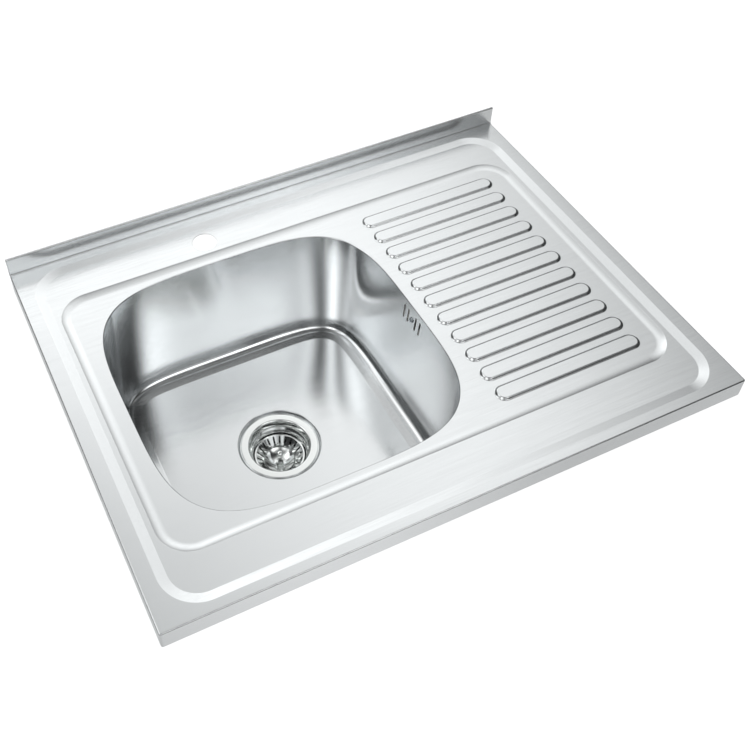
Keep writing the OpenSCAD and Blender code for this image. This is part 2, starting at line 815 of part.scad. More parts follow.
module strainer_basket() {
    slot_from = basket_wall_r + 2.8;
    slot_to = basket_r - 3.4;
    color(polished) difference() {
        turned(bent(basket_path(), cup_t));
        translate([bowl_x, middle_y, basket_bottom_z]) linear_extrude(basket_h + cup_t)
            for (i = [0:slot_n - 1]) rotate(360 * i / slot_n)
                translate([(slot_from + slot_to) / 2, 0]) slot(slot_to - slot_from, slot_w);
    }
}

module basket_plate() {
    hole = stem_tip_r + 0.1;
    path = [for (i = [0:6]) let (u = 1 - i / 6)
        [hole + (plate_r - hole) * u, plate_z + plate_h * u * u]];
    color(polished) turned(bent(path, cup_t));
}

module basket_knob() {
    foot_r = knob_r * 0.82;
    neck_r = knob_r * 0.5;
    ball_z = knob_h - knob_r * 0.9 - 1;
    color(polished) translate([bowl_x, middle_y, plate_z + 0.1]) rotate_extrude() difference() {
        polygon(concat([[0, 0], [foot_r * 0.7, 0]],
            arc([foot_r - 2.4, 3], 2.4, -60, 60, 5), [[neck_r, 7.5], [neck_r, 10]],
            arc([0, ball_z], knob_r, -48, 80, 9), [[0, ball_z + knob_r]]));
        square([stem_tip_r + 0.02, stem_tip_l]);
    }
}

module basket_plug() {
    top = basket_bottom_z;
    seat = cup_seat_z + loose;
    color(rubber) turned([[stem_tip_r + 0.1, top], [plug_r - 3, top], [plug_r, top - 1.5],
        [plug_r, seat + 0.8], [plug_r - 0.8, seat], [plug_r - 2.5, seat],
        [plug_r - 4, seat + plug_lip], [stem_tip_r + 0.1, seat + plug_lip]]);
}

module basket_stem() {
    under = cup_seat_z + loose + plug_lip;
    color(zinc) translate([bowl_x, middle_y, 0]) rotate_extrude() polygon([
        [0, plate_z + stem_tip_l], [stem_tip_r, plate_z + stem_tip_l], [stem_tip_r, under],
        [4.5, under], [4.5, under - stem_collar], [stem_r, under - stem_collar],
        [stem_r, under - stem_collar - stem_l + 1], [stem_r - 1, under - stem_collar - stem_l],
        [0, under - stem_collar - stem_l]]);
}

deck();
aprons();
upstand();
bowl();
bowl_floor();
bowl_pads();
drainer_pad();
strainer_cup();
flange_gasket();
body_washer();
waste_body();
waste_outlet();
clamp_screw();
clamp_nut();
overflow_head();
overflow_gasket();
overflow_screw();
overflow_hose();
hose_washer();
hose_nut();
fixing_brackets();
strainer_basket();
basket_plate();
basket_knob();
basket_plug();
basket_stem();
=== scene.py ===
"""Looks of a lay-on kitchen sink, built round its packed construction.

The construction gives every place: the boxes of its nodes say where the deck, the bowl and the
waste are. Sizes in the classes are millimetres, and the meshes are made in metres.
"""

import logging
import math
from collections.abc import Iterable, Sequence
from dataclasses import dataclass, field
from enum import Enum

import bmesh
import bpy
from mathutils import Matrix, Vector


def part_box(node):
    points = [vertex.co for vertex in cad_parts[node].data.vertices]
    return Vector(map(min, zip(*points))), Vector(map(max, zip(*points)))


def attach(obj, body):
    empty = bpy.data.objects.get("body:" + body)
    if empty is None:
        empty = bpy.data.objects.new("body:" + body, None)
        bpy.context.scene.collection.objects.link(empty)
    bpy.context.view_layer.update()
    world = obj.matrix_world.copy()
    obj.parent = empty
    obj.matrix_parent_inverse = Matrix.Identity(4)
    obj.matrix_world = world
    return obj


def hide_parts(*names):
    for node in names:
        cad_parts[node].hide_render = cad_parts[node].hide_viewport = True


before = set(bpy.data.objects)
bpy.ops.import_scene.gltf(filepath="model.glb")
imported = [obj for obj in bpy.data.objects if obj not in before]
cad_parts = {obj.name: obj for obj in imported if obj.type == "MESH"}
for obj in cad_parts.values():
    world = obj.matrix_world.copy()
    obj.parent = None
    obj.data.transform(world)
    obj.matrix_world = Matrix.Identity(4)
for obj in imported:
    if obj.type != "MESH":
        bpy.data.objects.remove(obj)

LOG = logging.getLogger("sink")
MM = 0.001
IMAGE_PX = 752
SENSOR_MM = 36.0
SMOOTH_ANGLE = math.radians(32)
# Square to this and to level metal is X, so that the grain has a way where the metal is level too.
NEARLY_UP = (0.0, 0.02, 1.0)

Point = tuple[float, float]
Place = tuple[float, float, float]
Piece = bpy.types.Object
Material = bpy.types.Material
Tree = bpy.types.NodeTree
Socket = bpy.types.NodeSocket


class Slot(Enum):
    """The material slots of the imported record."""

    SATIN_STEEL = "satin_steel"
    POLISHED_STEEL = "polished_steel"
    PLATED_STEEL = "plated_steel"
    BRASS = "brass"
    RUBBER = "rubber"
    PLASTIC = "plastic"


class Body(Enum):
    """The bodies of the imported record."""

    SINK = "sink"
    BASKET = "basket"


def node_box(node: str) -> tuple[Vector, Vector]:
    """Gives a node's lowest and highest corners in millimetres."""
    low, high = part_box(node)
    return low / MM, high / MM


def linear(colour: str) -> tuple[float, float, float, float]:
    """Turns an sRGB hex colour into linear values.

    Args:
        colour: the colour as "#rrggbb".

    Returns:
        Red, green, blue and an alpha of 1.
    """
    parts = [int(colour[i : i + 2], 16) / 255 for i in (1, 3, 5)]
    return *(p / 12.92 if p <= 0.04045 else ((p + 0.055) / 1.055) ** 2.4 for p in parts), 1.0


def feed(tree: Tree, node: bpy.types.Node, inputs: dict) -> None:
    """Gives a node's inputs their values and links.

    Args:
        tree: the node's tree.
        node: the node.
        inputs: socket name or index to a value, or to the output that is linked to it.
    """
    for name, value in inputs.items():
        if isinstance(value, Socket):
            tree.links.new(value, node.inputs[name])
        else:
            node.inputs[name].default_value = value


def add_node(tree: Tree, kind: str, inputs: dict | None = None, **settings: object) -> bpy.types.Node:
    """Adds a node with its settings, values and links.

    Args:
        tree: the tree that gets the node.
        kind: the node's type.
        inputs: what feed gives its inputs.
        settings: the node's own properties.

    Returns:
        The new node.
    """
    node = tree.nodes.new(kind)
    for name, value in settings.items():
        setattr(node, name, value)
    feed(tree, node, inputs or {})
    return node


def maths(tree: Tree, operation: str, *values: object) -> Socket:
    """Adds a node that calculates with numbers and gives its result."""
    return add_node(tree, "ShaderNodeMath", dict(enumerate(values)), operation=operation).outputs[0]


def vector_maths(tree: Tree, operation: str, *values: object) -> Socket:
    """Adds a node that calculates with vectors and gives its result, a vector or a number."""
    node = add_node(tree, "ShaderNodeVectorMath", dict(enumerate(values)), operation=operation)
    return node.outputs["Value" if operation in ("DOT_PRODUCT", "DISTANCE") else "Vector"]


def filleted(path: Sequence[Point], radii: Sequence[float], steps: int = 6) -> list[Point]:
    """Rounds the inner corners of an open path.

    Args:
        path: the corners.
        radii: one radius for each inner corner.
        steps: chords in each rounded corner.

    Returns:
        The path with its arcs.
    """
    points = [tuple(path[0])]
    for before, corner, after, radius in zip(path, path[1:], path[2:], radii):
        at = Vector(corner)
        back = (Vector(before) - at).normalized()
        ahead = (Vector(after) - at).normalized()
        half = back.angle(ahead) / 2
        centre = at + (back + ahead).normalized() * radius / math.sin(half)
        start = at + back * radius / math.tan(half) - centre
        end = at + ahead * radius / math.tan(half) - centre
        turn = math.atan2(start.x * end.y - start.y * end.x, start.dot(end))
        for i in range(steps + 1):
            spoke = centre + Matrix.Rotation(turn * i / steps, 2) @ start
            points.append((spoke.x, spoke.y))
    points.append(tuple(path[-1]))
    return points


def arc(centre: Point, radius: float, start: float, end: float, steps: int) -> list[Point]:
    """Gives points along an arc, its angles in degrees."""
    turns = (math.radians(start + (end - start) * i / steps) for i in range(steps + 1))
    return [(centre[0] + radius * math.cos(a), centre[1] + radius * math.sin(a)) for a in turns]


def walled(path: Sequence[Point], thickness: float) -> list[Point]:
    """Closes a path into the outline of a wall, thickness to the left of the path."""
    points = [Vector(p) for p in path]
    sides = [Vector((a.y - b.y, b.x - a.x)).normalized() for a, b in zip(points, points[1:])]
    joints = zip([sides[0], *sides], [*sides, sides[-1]])
    moved = [p + (a + b) * thickness / (1 + a.dot(b)) for p, (a, b) in zip(points, joints)]
    return [tuple(p) for p in points] + [tuple(p) for p in reversed(moved)]


def add_object(name: str, data: bpy.types.ID) -> Piece:
    """Adds an object with its data to the scene."""
    made = bpy.data.objects.new(name, data)
    bpy.context.scene.collection.objects.link(made)
    return made


class Skin:
    """A surface made of rings of points, in millimetres, that becomes a mesh in metres."""

    def __init__(self) -> None:
        """Starts an empty surface."""
        self.mesh = bmesh.new()

    def ring(self, points: Iterable[Sequence[float]]) -> list[bmesh.types.BMVert]:
        """Adds a row of points."""
        return [self.mesh.verts.new(Vector(p) * MM) for p in points]

    def bridge(self, low: Sequence, high: Sequence, closed: bool = True) -> None:
        """Joins two rows that have as many points, low to the right of the way along them."""
        count = len(low)
        for i in range(count if closed else count - 1):
            j = (i + 1) % count
            self.mesh.faces.new((low[i], low[j], high[j], high[i]))

    def sweep(self, rows: Sequence[Sequence], closed: bool = True) -> list[list]:
        """Adds rows of points and joins each to the next.

        Returns:
            The rows of vertices.
        """
        rings = [self.ring(row) for row in rows]
        for low, high in zip(rings, rings[1:]):
            self.bridge(low, high, closed)
        return rings

    def plate(self, *loops: Sequence) -> None:
        """Fills the level region between closed loops of vertices, facing up."""
        edges = []
        for loop in loops:
            for a, b in zip(loop, [*loop[1:], loop[0]]):
                edges.append(self.mesh.edges.get((a, b)) or self.mesh.edges.new((a, b)))
        made = bmesh.ops.triangle_fill(self.mesh, use_beauty=True, edges=edges, normal=(0, 0, 1))
        faces = [f for f in made["geom"] if isinstance(f, bmesh.types.BMFace)]
        self.mesh.normal_update()
        bmesh.ops.reverse_faces(self.mesh, faces=[f for f in faces if f.normal.z < 0])

    def take(self, piece: Piece) -> None:
        """Takes over the mesh of a piece, whose object is then removed."""
        self.mesh.from_mesh(piece.data)
        bpy.data.objects.remove(piece)

    def weld(self) -> None:
        """Merges points that lie on each other."""
        bmesh.ops.remove_doubles(self.mesh, verts=self.mesh.verts, dist=0.004 * MM)

    def outwards(self) -> None:
        """Turns the faces of a closed solid outwards."""
        bmesh.ops.recalc_face_normals(self.mesh, faces=self.mesh.faces)

    def piece(self, name: str) -> Piece:
        """Turns the surface into an object of the scene."""
        data = bpy.data.meshes.new(name)
        self.mesh.to_mesh(data)
        self.mesh.free()
        return add_object(name, data)


def settle(piece: Piece) -> Piece:
    """Applies a piece's modifiers to its mesh."""
    bpy.context.view_layer.update()
    graph = bpy.context.evaluated_depsgraph_get()
    data = bpy.data.meshes.new_from_object(piece.evaluated_get(graph), depsgraph=graph)
    piece.modifiers.clear()
    old = piece.data
    piece.data = data
    bpy.data.meshes.remove(old)
    data.name = piece.name
    return piece


def thicken(piece: Piece, thickness: float) -> Piece:
    """Gives a surface its sheet metal below it, in millimetres."""
    wall = piece.modifiers.new("wall", "SOLIDIFY")
    wall.thickness = thickness * MM
    wall.offset = -1
    wall.use_even_offset = True
    return settle(piece)


def cut(piece: Piece, cutter: Piece) -> Piece:
    """Cuts one piece with another, which is then removed."""
    saw = piece.modifiers.new("cut", "BOOLEAN")
    saw.operation = "DIFFERENCE"
    saw.solver = "EXACT"
    saw.object = cutter
    settle(piece)
    bpy.data.objects.remove(cutter)
    return piece


def smooth(piece: Piece, angle: float = SMOOTH_ANGLE) -> Piece:
    """Shades a piece smoothly up to an angle, with its flats kept flat."""
    data = piece.data
    data.shade_smooth()
    data.set_sharp_from_angle(angle=angle)
    flats = piece.modifiers.new("flats", "WEIGHTED_NORMAL")
    flats.keep_sharp = True
    return settle(piece)


def turned(name: str, outline: Sequence[Point], place: Matrix, segments: int = 128) -> Piece:
    """Revolves a closed outline about the Z axis of a place.

    Args:
        name: the piece's name.
        outline: radius and height of each point, in millimetres; a radius of 0 is a pole.
        place: the frame of the axis.
        segments: steps in a full turn.

    Returns:
        The smooth piece.
    """
    skin = Skin()
    turns = [math.tau * i / segments for i in range(segments)]
    rows = []
    for radius, height in outline:
        spokes = turns if radius > 1e-6 else turns[:1]
        rows.append(skin.ring(
            place @ Vector((radius * math.cos(a), radius * math.sin(a), height)) for a in spokes))
    for low, high in zip(rows, [*rows[1:], rows[0]]):
        if len(low) == len(high) == 1:
            continue
        if len(low) == 1 or len(high) == 1:
            pole, rim = (low[0], high) if len(low) == 1 else (high[0], low)
            for a, b in zip(rim, [*rim[1:], rim[0]]):
                skin.mesh.faces.new((pole, a, b))
        else:
            skin.bridge(low, high)
    skin.outwards()
    return smooth(skin.piece(name))


def layered(
        name: str, rows: Sequence[Sequence[Place]], place: Matrix | None = None,
        capped: bool = True) -> Piece:
    """Makes a solid from level outlines stacked on each other.

    Args:
        name: the piece's name.
        rows: the outlines, each with as many points.
        place: where the outlines lie, or nothing for the shared frame.
        capped: whether the first and the last outline are filled, or joined to each other.

    Returns:
        The smooth piece.
    """
    skin = Skin()
    place = place or Matrix()
    rings = skin.sweep([[place @ Vector(p) for p in row] for row in rows])
    if capped:
        for ring in (rings[0], rings[-1]):
            skin.mesh.faces.new(ring)
    else:
        skin.bridge(rings[-1], rings[0])
    skin.outwards()
    return smooth(skin.piece(name))


def copies(piece: Piece, tree: Tree, values: dict[str, object]) -> Piece:
    """Runs a tree of geometry nodes on a piece and keeps the result as its mesh.

    Args:
        piece: the piece that the tree starts from.
        tree: the tree.
        values: name of each input of the tree to its value.

    Returns:
        The piece with its new mesh.
    """
    run = piece.modifiers.new("copies", "NODES")
    run.node_group = tree
    for item in tree.interface.items_tree:
        if item.item_type == "SOCKET" and item.in_out == "INPUT" and item.name in values:
            run[item.identifier] = values[item.name]
    return settle(piece)


def start_tree(name: str, inputs: dict[str, str]) -> tuple[Tree, bpy.types.Node]:
    """Starts a tree of geometry nodes that takes a piece and has named inputs.

    Args:
        name: the tree's name.
        inputs: name of each further input to its socket type.

    Returns:
        The tree and its input node.
    """
    tree = bpy.data.node_groups.new(name, "GeometryNodeTree")
    for label, kind in {"Geometry": "NodeSocketGeometry", **inputs}.items():
        tree.interface.new_socket(label, in_out="INPUT", socket_type=kind)
    tree.interface.new_socket("Geometry", in_out="OUTPUT", socket_type="NodeSocketGeometry")
    return tree, add_node(tree, "NodeGroupInput")


def end_tree(tree: Tree, placed: Socket, finish: Material) -> None:
    """Ends a tree with its copies made real and given their material."""
    real = add_node(tree, "GeometryNodeRealizeInstances", {"Geometry": placed})
    dressed = add_node(tree, "GeometryNodeSetMaterial", {
        "Geometry": real.outputs["Geometry"], "Material": finish})
    add_node(tree, "NodeGroupOutput", {"Geometry": dressed.outputs["Geometry"]})


def row_tree(finish: Material) -> Tree:
    """Makes a tree that repeats a piece along Y.

    Args:
        finish: the material of the copies.

    Returns:
        The tree, with inputs Count and Pitch.
    """
    tree, start = start_tree("row", {"Count": "NodeSocketInt", "Pitch": "NodeSocketFloat"})
    step = add_node(tree, "ShaderNodeCombineXYZ", {"Y": start.outputs["Pitch"]})
    line = add_node(tree, "GeometryNodeMeshLine", {
        "Count": start.outputs["Count"], "Offset": step.outputs["Vector"]})
    placed = add_node(tree, "GeometryNodeInstanceOnPoints", {
        "Points": line.outputs["Mesh"], "Instance": start.outputs["Geometry"]})
    end_tree(tree, placed.outputs["Instances"], finish)
    return tree


def circle_tree(finish: Material) -> Tree:
    """Makes a tree that repeats a piece round the Z axis through a centre.

    Args:
        finish: the material of the copies.

    Returns:
        The tree, with inputs Count and Centre.
    """
    tree, start = start_tree("circle", {"Count": "NodeSocketInt", "Centre": "NodeSocketVector"})
    line = add_node(tree, "GeometryNodeMeshLine", {
        "Count": start.outputs["Count"], "Offset": (0, 0, 0)})
    index = add_node(tree, "GeometryNodeInputIndex")
    share = maths(tree, "DIVIDE", index.outputs[0], start.outputs["Count"])
    euler = add_node(tree, "ShaderNodeCombineXYZ", {"Z": maths(tree, "MULTIPLY", share, math.tau)})
    moved = add_node(tree, "GeometryNodeSetPosition", {
        "Geometry": line.outputs["Mesh"], "Position": start.outputs["Centre"]})
    placed = add_node(tree, "GeometryNodeInstanceOnPoints", {
        "Points": moved.outputs["Geometry"], "Instance": start.outputs["Geometry"],
        "Rotation": euler.outputs["Vector"]})
    end_tree(tree, placed.outputs["Instances"], finish)
    return tree


def new_material(name: str) -> tuple[Material, Tree, bpy.types.Node]:
    """Starts a material and gives it with its tree and its surface shader."""
    material = bpy.data.materials.new(name)
    material.use_nodes = True
    tree = material.node_tree
    return material, tree, tree.nodes["Principled BSDF"]


def tinted(tree: Tree, share: Socket, colour: str, dim: float) -> Socket:
    """Mixes a colour with a dimmer one by a pattern.

    Args:
        tree: the material's tree.
        share: the pattern, 0 for the dimmer colour and 1 for the full one.
        colour: the full colour as "#rrggbb".
        dim: the dimmer colour's share of the full one.

    Returns:
        The mixed colour.
    """
    red, green, blue, _ = linear(colour)
    mix = add_node(tree, "ShaderNodeMix", {
        0: share, 6: (red * dim, green * dim, blue * dim, 1.0), 7: (red, green, blue, 1.0)},
        data_type="RGBA")
    return mix.outputs[2]


@dataclass(frozen=True)
class Steel:
    """Stainless steel: sheet with the fine grain that rolling or brushing leaves in it.

    The grain runs along X on level metal and level round a wall. Its real lines are under 0.1 mm
    apart, which is finer than a pixel, so it is drawn with broader streaks that just show, and
    reflections are drawn out across it.
    """

    name: str
    colour: str
    roughness: float
    streak_mm: float = 0.9
    streak_length_mm: float = 60.0
    unevenness: float = 0.05
    relief_mm: float = 0.0
    brushing: float = 0.0

    def make(self) -> Material:
        """Builds the material."""
        material, tree, shader = new_material(self.name)
        surface = add_node(tree, "ShaderNodeNewGeometry")
        level = vector_maths(tree, "CROSS_PRODUCT", surface.outputs["Normal"], NEARLY_UP)
        place = add_node(tree, "ShaderNodeTexCoord")
        along, across = (1 / (size * MM) for size in (self.streak_length_mm, self.streak_mm))
        stretch = add_node(tree, "ShaderNodeMapping", {
            "Vector": place.outputs["Object"], "Scale": (along, across, across)})
        grain = add_node(tree, "ShaderNodeTexNoise", {
            "Vector": stretch.outputs["Vector"], "Scale": 1.0, "Detail": 3.0, "Roughness": 0.6})
        gloss = add_node(tree, "ShaderNodeMapRange", {
            "Value": grain.outputs["Fac"], "From Min": 0.25, "From Max": 0.75,
            "To Min": self.roughness - self.unevenness, "To Max": self.roughness + self.unevenness})
        feed(tree, shader, {
            "Base Color": tinted(tree, grain.outputs["Fac"], self.colour, 0.97), "Metallic": 1.0,
            "Roughness": gloss.outputs["Result"], "Anisotropic": self.brushing,
            "Anisotropic Rotation": 0.25, "Tangent": vector_maths(tree, "NORMALIZE", level)})
        if self.relief_mm:
            bump = add_node(tree, "ShaderNodeBump", {
                "Height": grain.outputs["Fac"], "Strength": 0.35, "Distance": self.relief_mm * MM})
            feed(tree, shader, {"Normal": bump.outputs["Normal"]})
        return material


@dataclass(frozen=True)
class Moulded:
    """A moulded plastic or rubber with a fine eroded surface.

    Uncoloured polypropylene is milky: light goes a few millimetres into it, so a thin wall glows.
    """

    name: str
    colour: str
    roughness: float
    grit_mm: float = 0.6
    relief_mm: float = 0.02
    ior: float = 1.49
    milkiness: float = 0.0
    light_depth_mm: float = 12.0

    def make(self) -> Material:
        """Builds the material."""
        material, tree, shader = new_material(self.name)
        place = add_node(tree, "ShaderNodeTexCoord")
        grit = add_node(tree, "ShaderNodeTexNoise", {
            "Vector": place.outputs["Object"], "Scale": 1 / (self.grit_mm * MM), "Detail": 2.0})
        patches = add_node(tree, "ShaderNodeTexNoise", {
            "Vector": place.outputs["Object"], "Scale": 1 / (40 * MM), "Detail": 1.0})
        gloss = add_node(tree, "ShaderNodeMapRange", {
            "Value": grit.outputs["Fac"], "From Min": 0.3, "From Max": 0.7,
            "To Min": self.roughness - 0.05, "To Max": self.roughness + 0.05})
        bump = add_node(tree, "ShaderNodeBump", {
            "Height": grit.outputs["Fac"], "Strength": 0.4, "Distance": self.relief_mm * MM})
        feed(tree, shader, {
            "Base Color": tinted(tree, patches.outputs["Fac"], self.colour, 0.92),
            "Roughness": gloss.outputs["Result"], "Normal": bump.outputs["Normal"], "IOR": self.ior,
            "Subsurface Weight": self.milkiness, "Subsurface Radius": (1.0, 1.0, 1.0),
            "Subsurface Scale": self.light_depth_mm * MM})
        return material


def made_once(recipe: Steel | Moulded) -> Material:
    """Gives the field of a dataclass whose material the recipe makes with each instance."""
    return field(default_factory=recipe.make)


@dataclass
class Finishes:
    """All finishes of the sink, each made once."""

    satin: Material = made_once(
        Steel("satin_rolled_stainless", "#DDDFE0", 0.20, relief_mm=0.004, brushing=0.85))
    drawn: Material = made_once(Steel("deep_drawn_stainless", "#DADCDD", 0.17, streak_mm=2.0, brushing=0.85))
    polished: Material = made_once(Steel("polished_stainless", "#E4E6E5", 0.09, unevenness=0.03))
    plated: Material = made_once(
        Steel("zinc_plated_steel", "#B4BABF", 0.34, streak_mm=3.0, streak_length_mm=6.0))
    brass: Material = made_once(Steel("turned_brass", "#D2AE62", 0.26, streak_mm=0.6, streak_length_mm=4.0))
    rubber: Material = made_once(Moulded("moulded_rubber", "#2B2C2E", 0.62, ior=1.52))
    plastic: Material = made_once(Moulded("moulded_polypropylene", "#F2F2EE", 0.38, milkiness=1.0))


def dress(piece: Piece, finish: Material) -> None:
    """Gives a piece one finish all over."""
    piece.data.materials.clear()
    piece.data.materials.append(finish)


def hand_over(piece: Piece, finish: Material, body: Body, slot: Slot, *nodes: str) -> None:
    """Dresses a piece and seats it on its body.

    Args:
        piece: the piece.
        finish: its material.
        body: the body that it moves with.
        slot: the record's material slot; not used.
        nodes: the nodes of the construction that it stands for.
    """
    dress(piece, finish)
    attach(piece, body.value)
    if nodes:
        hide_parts(*nodes)
    LOG.info("%s: %d faces on %s", piece.name, len(piece.data.polygons), body.value)


def rectangle(half: Point) -> list[Point]:
    """Gives a centred rectangle's corners, counter-clockwise from the left front."""
    return [(x * half[0], y * half[1]) for x, y in [(-1, -1), (1, -1), (1, 1), (-1, 1)]]


def washer_outline(inner: float, outer: float, low: float, high: float, edge: float = 0.4) -> list[Point]:
    """Gives a flat ring's section, with its four edges rounded."""
    corners = [(inner + 1, low), (outer, low), (outer, high), (inner, high), (inner, low), (inner + 1, low)]
    return filleted(corners, [edge] * 4, steps=4)[:-1]


def rounded_ring(
        half: Point, radius: float, height: float, centre: Point = (0, 0), steps: int = 20) -> list[Place]:
    """Gives a level rounded rectangle, counter-clockwise."""
    ring = []
    for side, (x, y) in enumerate([(1, 1), (-1, 1), (-1, -1), (1, -1)]):
        corner = (centre[0] + x * (half[0] - radius), centre[1] + y * (half[1] - radius))
        ring += [(*p, height) for p in arc(corner, radius, 90 * side, 90 * side + 90, steps)]
    return ring


def slot_ring(centre: Point, run: float, radius: float, height: float, steps: int = 24) -> list[Place]:
    """Gives a level slot outline with round ends along X, counter-clockwise."""
    right = arc((centre[0] + run / 2, centre[1]), radius, -90, 90, steps)
    left = arc((centre[0] - run / 2, centre[1]), radius, 90, 270, steps)
    return [(x, y, height) for x, y in right + left]


@dataclass
class Bowl:
    """The deep-drawn bowl: a superellipse that gets squarer towards its floor."""

    width: float = 412.0
    depth: float = 402.0
    sheet: float = 0.8
    flange: float = 9.0
    gap: float = 0.6
    rim_radius: float = 1.5
    lean: float = 13.0
    fillet: float = 14.0
    ring_width: float = 11.0
    ring_height: float = 2.5
    ring_bend: float = 8.0
    floor_bend: float = 6.0
    wall_rows: int = 10
    top_curve: float = 3.95
    floor_curve: float = 8.3
    recess_depth: float = 5.0
    recess_lean: float = 3.0
    recess_radius: float = 60.5
    hole_radius: float = 45.5
    points: int = 288

    def __post_init__(self) -> None:
        """Reads the bowl's place from the construction."""
        low, high = node_box("bowl")
        self.centre = ((low.x + high.x) / 2, (low.y + high.y) / 2)
        self.axis = Matrix.Translation((*self.centre, 0))
        self.top = high.z
        self.bottom = node_box("bowl_floor")[0].z + self.sheet
        self.floor = self.bottom + self.recess_depth

    def outline(self, inset: float, height: float, curve: float | None = None) -> list[Place]:
        """Gives the bowl's level outline at an inset from its opening."""
        floor_inset = self.lean + self.fillet + self.ring_width
        share = max(inset, 0) / floor_inset
        power = curve or self.top_curve + (self.floor_curve - self.top_curve) * share
        ring = []
        for i in range(self.points):
            turn = math.tau * i / self.points
            a = turn + math.radians(7) * math.sin(4 * turn)
            x = abs(math.cos(a)) / (self.width / 2 - inset)
            y = abs(math.sin(a)) / (self.depth / 2 - inset)
            r = (x**power + y**power) ** (-1 / power)
            ring.append((self.centre[0] + r * math.cos(a), self.centre[1] + r * math.sin(a), height))
        return ring

    def circle(self, radius: float, height: float) -> list[Place]:
        """Gives a level circle about the waste with its points in line with the outline's."""
        middle = Vector(self.centre)
        spokes = ((Vector((x, y)) - middle).normalized() for x, y, _ in self.outline(0, 0))
        return [(*(middle + spoke * radius), height) for spoke in spokes]

    def section(self) -> list[Point]:
        """Gives the wall's section as insets and heights, from the flange to the floor."""
        wall_foot = self.floor + self.ring_height
        corners = [
            (-self.gap - self.flange, self.top), (-self.gap, self.top),
            (self.lean, wall_foot), (self.lean + self.fillet, wall_foot),
            (self.lean + self.fillet + self.ring_width, self.floor),
            (self.lean + self.fillet + self.ring_width + 3, self.floor)]
        steps = 12
        radii = [self.rim_radius, self.fillet, self.ring_bend, self.floor_bend]
        path = [Vector(p) for p in filleted(corners, radii, steps)]
        split = steps + 2
        head, foot = path[split - 1], path[split]
        wall = [head.lerp(foot, i / self.wall_rows) for i in range(1, self.wall_rows)]
        return [tuple(p) for p in path[:split] + wall + path[split:]]

    def build(self) -> Piece:
        """Builds the bowl, from its flange to the hole in its floor, as one thickened surface."""
        skin = Skin()
        rows = [self.outline(inset, height) for inset, height in self.section()]
        recess = filleted(
            [(self.recess_radius + 2, self.floor), (self.recess_radius, self.floor),
             (self.recess_radius - self.recess_lean, self.bottom), (self.hole_radius, self.bottom)],
            [1.5, 1.2], steps=5)
        rows += [self.circle(radius, height) for radius, height in recess]
        skin.sweep(rows)
        return thicken(skin.piece("bowl_shell"), self.sheet)


@dataclass
class Overflow:
    """The overflow slots in the bowl's right wall and the screw between them."""

    slot_length: float = 24.0
    slot_width: float = 4.0
    near: float = 9.5
    pitch: float = 10.5
    below: float = 24.0
    screw_hole: float = 2.8
    gasket_margin: Point = (11.0, 6.5)
    gasket_corner: float = 9.0
    gasket_width: float = 3.0
    gasket_thickness: float = 2.0
    gasket_edge: float = 0.4

    def place(self, bowl: Bowl) -> Matrix:
        """Gives the frame of the wall's inside at the screw, with X square to the wall."""
        angle = math.atan((bowl.lean + bowl.gap) / (bowl.top - bowl.rim_radius - bowl.floor
                                                   - bowl.ring_height - bowl.fillet))
        height = bowl.top + bowl.sheet - self.below
        out = bowl.width / 2 + bowl.gap - (bowl.top - bowl.rim_radius - height) * math.tan(angle)
        return (Matrix.Translation((bowl.centre[0] + out, bowl.centre[1], height))
                @ Matrix.Rotation(angle, 4, "Y"))

    def cutter(self, bowl: Bowl) -> Piece:
        """Makes the solid that cuts the slots and the screw's hole."""
        skin = Skin()
        place = self.place(bowl)
        radius = self.slot_width / 2
        outlines = [
            slot_ring((0, side * across), self.slot_length - self.slot_width, radius, 0, 12)
            for side in (-1, 1) for across in (self.near, self.near + self.pitch)]
        outlines.append([(x, y, 0) for x, y in arc((0, 0), self.screw_hole, 0, 345, 23)])
        for outline in outlines:
            rings = [
                skin.ring(place @ Vector((depth, y, x)) for x, y, _ in outline) for depth in (-5, 5)]
            skin.bridge(*rings)
            for ring in rings:
                skin.mesh.faces.new(ring)
        skin.outwards()
        return skin.piece("overflow_cutter")

    def gasket(self, bowl: Bowl) -> Piece:
        """Makes the rubber ring between the wall and the overflow's head."""
        half = (self.near + self.pitch + self.gasket_margin[0], self.slot_length / 2 + self.gasket_margin[1])
        edge, width = self.gasket_edge, self.gasket_width
        low = bowl.sheet + 0.05
        high = low + self.gasket_thickness
        rows = [
            [(h, y, x) for y, x, h in rounded_ring((half[0] - i, half[1] - i), self.gasket_corner - i, h)]
            for i, h in [(edge, low), (0, low + edge), (0, high - edge), (edge, high),
                         (width - edge, high), (width, high - edge), (width, low + edge),
                         (width - edge, low)]]
        return layered("overflow_gasket_ring", rows, self.place(bowl), capped=False)

    def screw(self, bowl: Bowl) -> Piece:
        """Makes the raised screw head between the slots, with its straight recess."""
        head = [(0, 20), (1.6, 20), (2.5, 18.6), (2.5, 0), (4, 0),
                *arc((2.6, -0.5), 1.4, 0, -90, 10), (0, -2)]
        place = self.place(bowl) @ Matrix.Rotation(math.radians(90), 4, "Y")
        made = turned("overflow_screw_turned", head, place, 64)
        recess = [[(x, y, h) for x, y in rectangle((0.5, 3))] for h in (-2.5, -1.2)]
        return smooth(cut(made, layered("recess", recess, place)))


